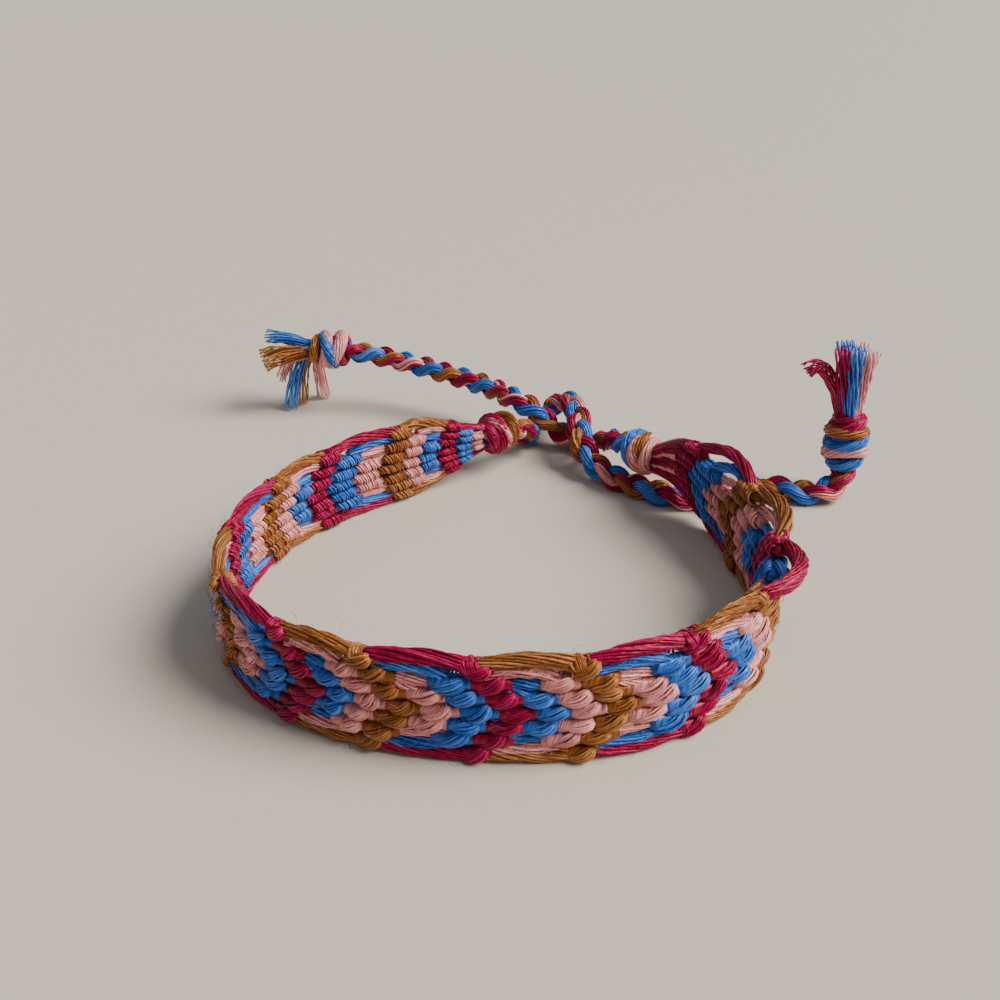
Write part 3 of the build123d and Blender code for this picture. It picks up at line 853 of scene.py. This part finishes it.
# Wraps of each knot: colour, place along the axis, tilt and its heading, size share, thickness
KNOT_WRAPS = {
    "start_end_knot": [
        ("pink", -0.62, (18, 0), 0.86, 0.62), ("brown", -0.25, (-20, 50), 1.0, 0.66),
        ("pink", 0.1, (24, 110), 0.98, 0.55), ("crimson", 0.4, (-14, 20), 1.0, 0.7),
        ("crimson", 0.75, (12, 80), 0.8, 0.6)],
    "finish_end_knot": [
        ("pink", -0.7, (-14, 20), 0.84, 0.62), ("pink", -0.3, (18, 70), 1.0, 0.7),
        ("brown", 0.05, (-24, 30), 1.0, 0.55), ("blue", 0.35, (16, 100), 1.0, 0.68),
        ("blue", 0.72, (-10, 0), 0.82, 0.6)],
    "start_stopper_knot": [
        ("blue", -0.8, (14, 60), 0.84, 0.62), ("pink", -0.5, (-28, 80), 1.04, 0.8),
        ("blue", -0.02, (18, 20), 1.0, 0.62), ("brown", 0.32, (-14, 60), 0.98, 0.6),
        ("crimson", 0.62, (14, 0), 0.86, 0.6), ("crimson", 0.88, (-8, 50), 0.66, 0.5)],
    "finish_stopper_knot": [
        ("crimson", -0.72, (14, 0), 0.78, 0.64), ("pink", -0.3, (-26, 70), 0.98, 0.78),
        ("blue", 0.05, (22, 110), 1.0, 0.7), ("pink", 0.4, (-20, 30), 0.94, 0.7),
        ("brown", 0.75, (10, 0), 0.76, 0.6)],
}


class BRACELET_OT_wind_knots(bpy.types.Operator):
    """Winds the two knots that close the band and the stopper knots of the ties"""
    bl_idname = "bracelet.wind_knots"
    bl_label = "Wind the knots"

    def execute(self, context):
        ply = context.scene.bracelet_floss.ply_radius / MM
        chance = np.random.default_rng(SEEDS["knots"])
        length = BAND_LINE[1][-1]
        places = {"start_stopper_knot": START_STOPPER, "finish_stopper_knot": FINISH_STOPPER}
        for node, position in (("start_end_knot", 0.0), ("finish_end_knot", length)):
            place, along = line_at(BAND_LINE, np.array(position))
            place[2] = BAND_HALF_WIDTH
            places[node] = (place - LOOP_CENTRE, along, END_KNOT_RADIUS, END_KNOT_HALF_LENGTH)
        for number, (node, wraps) in enumerate(KNOT_WRAPS.items()):
            skein = Skein()
            wound_knot(skein, *places[node], wraps, ply, chance)
            colours = list(dict.fromkeys(wrap[0] for wrap in wraps))
            piece = skein.make(node + "_floss", colours, number)
            slot = "brown_floss" if "end_knot" in node else "pink_floss"
            claim(piece, slot, node)
        return {"FINISHED"}


# The tassels
LOCK_START = 0.5          # a lock first runs on along the knot's axis, then turns to its tip
LOCK_DEPTH = 0.8          # it starts this far inside the knot
LOCK_RING = 0.8           # and this far from the knot's axis
LOCK_LAYERS = [(0.22, 5), (0.5, 10)]      # distance from the lock's middle, plies


def lay_tassel(skein, stopper, locks, ply, chance):
    """Loose plies in locks, each a curve from the stopper knot to its own tip."""
    centre, direction, _, half_length = stopper
    axis, side, over = knot_axes(direction)
    root = np.add(centre, LOOP_CENTRE) + axis * (half_length - LOCK_DEPTH)
    share = np.linspace(0, 1, 14)[:, None]
    for number, (colour, x, y, z, bow) in enumerate(locks):
        angle = 2 * np.pi * number / len(locks)
        start = root + LOCK_RING * (side * np.cos(angle) + over * np.sin(angle))
        tip = np.add((x, y, z), LOOP_CENTRE)
        bend = (start + tip) / 2 + 2 * (np.array([0, 0, bow]) + axis * LOCK_START)
        path = (1 - share)**2 * start + 2 * share * (1 - share) * bend + share**2 * tip
        for distance, count in LOCK_LAYERS:
            spread = distance * (1 + 0.8 * share[:, 0]**1.5)
            plies = bundle(path, headings(path), count, spread, 0.3, chance, 0.1)
            # Tones at random, lighter towards each tip: a painted highlight on the loose ends
            tone = 0.2 + 0.6 * chance.random((count, 1)) + 0.9 * share.T**5
            skein.lay(colour, plies, ply, tone=tone)


class BRACELET_OT_fan_tassels(bpy.types.Operator):
    """Fans the loose floss beyond the stopper knots"""
    bl_idname = "bracelet.fan_tassels"
    bl_label = "Fan the tassels"

    def execute(self, context):
        ply = context.scene.bracelet_floss.ply_radius / MM
        chance = np.random.default_rng(SEEDS["tassels"])
        for node, slot, stopper, locks in (
                ("start_tassel", "blue_floss", START_STOPPER, START_LOCKS),
                ("finish_tassel", "brown_floss", FINISH_STOPPER, FINISH_LOCKS)):
            skein = Skein()
            lay_tassel(skein, stopper, locks, ply, chance)
            colours = list(dict.fromkeys(lock[0] for lock in locks))
            piece = skein.make(node + "_floss", colours, SEEDS["tassel tones"])
            claim(piece, slot, node)
        return {"FINISHED"}


# The stage, in metres and degrees
FLOOR_SIZE = 40.0
FLOOR_GRAIN = 0.03        # how much lighter and darker the floor is in its grain
KEY_DIRECTION = (-1.0, 0.12, -0.95)
KEY_SOFTNESS = 38
KEY_COLOUR = (1.0, 0.97, 0.92)
SKY_COLOUR = (0.86, 0.91, 1.0, 1)
CAMERA_PLACE = (-0.0046, -0.09875, 0.05675)
CAMERA_DOWN = 28.5
CAMERA_ROLL = -1.09
LENS = 36.0               # as wide as the film behind it, in millimetres


def floor_material(colour):
    """A plain pale floor with a faint grain."""
    material = bpy.data.materials.new("pale_floor")
    material.use_nodes = True
    nodes, links = material.node_tree.nodes, material.node_tree.links
    shader = nodes["Principled BSDF"]
    grain = nodes.new("ShaderNodeTexNoise")
    grain.inputs["Scale"].default_value = 900.0
    place = nodes.new("ShaderNodeTexCoord")
    links.new(place.outputs["Object"], grain.inputs["Vector"])
    mix = nodes.new("ShaderNodeMix")
    mix.data_type = "RGBA"
    mix.inputs["A"].default_value = (*(colour * (1 - FLOOR_GRAIN)), 1)
    mix.inputs["B"].default_value = (*np.minimum(colour * (1 + FLOOR_GRAIN), 1), 1)
    links.new(grain.outputs["Fac"], mix.inputs["Factor"])
    links.new(mix.outputs["Result"], shader.inputs["Base Color"])
    shader.inputs["Roughness"].default_value = 0.75
    return material
class BRACELET_OT_set_stage(bpy.types.Operator):
    """Adds the pale floor, the soft light and the camera"""
    bl_idname = "bracelet.set_stage"
    bl_label = "Set the stage"

    def execute(self, context):
        stage = context.scene.bracelet_stage
        bpy.ops.object.select_all(action="DESELECT")
        bpy.ops.mesh.primitive_plane_add(size=FLOOR_SIZE, location=(0, 0, 0))
        floor = context.object
        floor.name = "floor"
        floor.data.materials.append(floor_material(np.array(stage.floor_colour)))

        # Soft daylight from the right, and a little light from all round
        bpy.ops.object.light_add(type="SUN", location=(0.3, -0.05, 0.3))
        light = context.object
        light.name = "key_light"
        light.data.energy = stage.key_strength
        light.data.angle = np.radians(KEY_SOFTNESS)
        light.data.color = KEY_COLOUR
        light.rotation_euler = Vector(KEY_DIRECTION).to_track_quat("-Z", "Y").to_euler()
        world = bpy.data.worlds.new("soft_room")
        world.use_nodes = True
        context.scene.world = world
        sky = world.node_tree.nodes["Background"]
        sky.inputs["Color"].default_value = SKY_COLOUR
        sky.inputs["Strength"].default_value = stage.sky_strength

        bpy.ops.object.camera_add()
        camera = context.object
        camera.name = "camera"
        camera.data.lens = LENS
        camera.data.sensor_width = LENS
        camera.data.clip_start = 0.005
        tilt = Matrix.Rotation(np.radians(90 - CAMERA_DOWN), 4, "X")
        roll = Matrix.Rotation(np.radians(CAMERA_ROLL), 4, "Z")
        camera.matrix_world = Matrix.Translation(CAMERA_PLACE) @ tilt @ roll
        context.scene.camera = camera
        return {"FINISHED"}


class BRACELET_PT_panel(bpy.types.Panel):
    """Lists the bracelet's steps and settings"""
    bl_label = "Friendship bracelet"
    bl_idname = "BRACELET_PT_panel"
    bl_space_type = "VIEW_3D"
    bl_region_type = "UI"
    bl_category = "Bracelet"

    def draw(self, context):
        layout = self.layout
        for settings in (context.scene.bracelet_floss, context.scene.bracelet_dyes,
                         context.scene.bracelet_stage):
            box = layout.box()
            for name in settings.__annotations__:
                box.prop(settings, name)
        for operator in OPERATORS:
            layout.operator(operator.bl_idname)


OPERATORS = (BRACELET_OT_lay_band, BRACELET_OT_braid_ties, BRACELET_OT_wind_knots,
             BRACELET_OT_fan_tassels, BRACELET_OT_set_stage)
SETTINGS = (BraceletFloss, BraceletDyes, BraceletStage)
CLASSES = (*SETTINGS, *OPERATORS, BRACELET_PT_panel)


def register():
    """Adds the settings, the steps and the panel."""
    for each in CLASSES:
        bpy.utils.register_class(each)
    bpy.types.Scene.bracelet_floss = PointerProperty(type=BraceletFloss)
    bpy.types.Scene.bracelet_dyes = PointerProperty(type=BraceletDyes)
    bpy.types.Scene.bracelet_stage = PointerProperty(type=BraceletStage)


def unregister():
    """Takes them away again."""
    del bpy.types.Scene.bracelet_stage
    del bpy.types.Scene.bracelet_dyes
    del bpy.types.Scene.bracelet_floss
    for each in reversed(CLASSES):
        bpy.utils.unregister_class(each)


def main():
    """Builds the bracelet's looks in order."""
    register()
    bpy.ops.bracelet.lay_band()
    bpy.ops.bracelet.braid_ties()
    bpy.ops.bracelet.wind_knots()
    bpy.ops.bracelet.fan_tassels()
    bpy.ops.bracelet.set_stage()


if __name__ == "__main__":
    main()
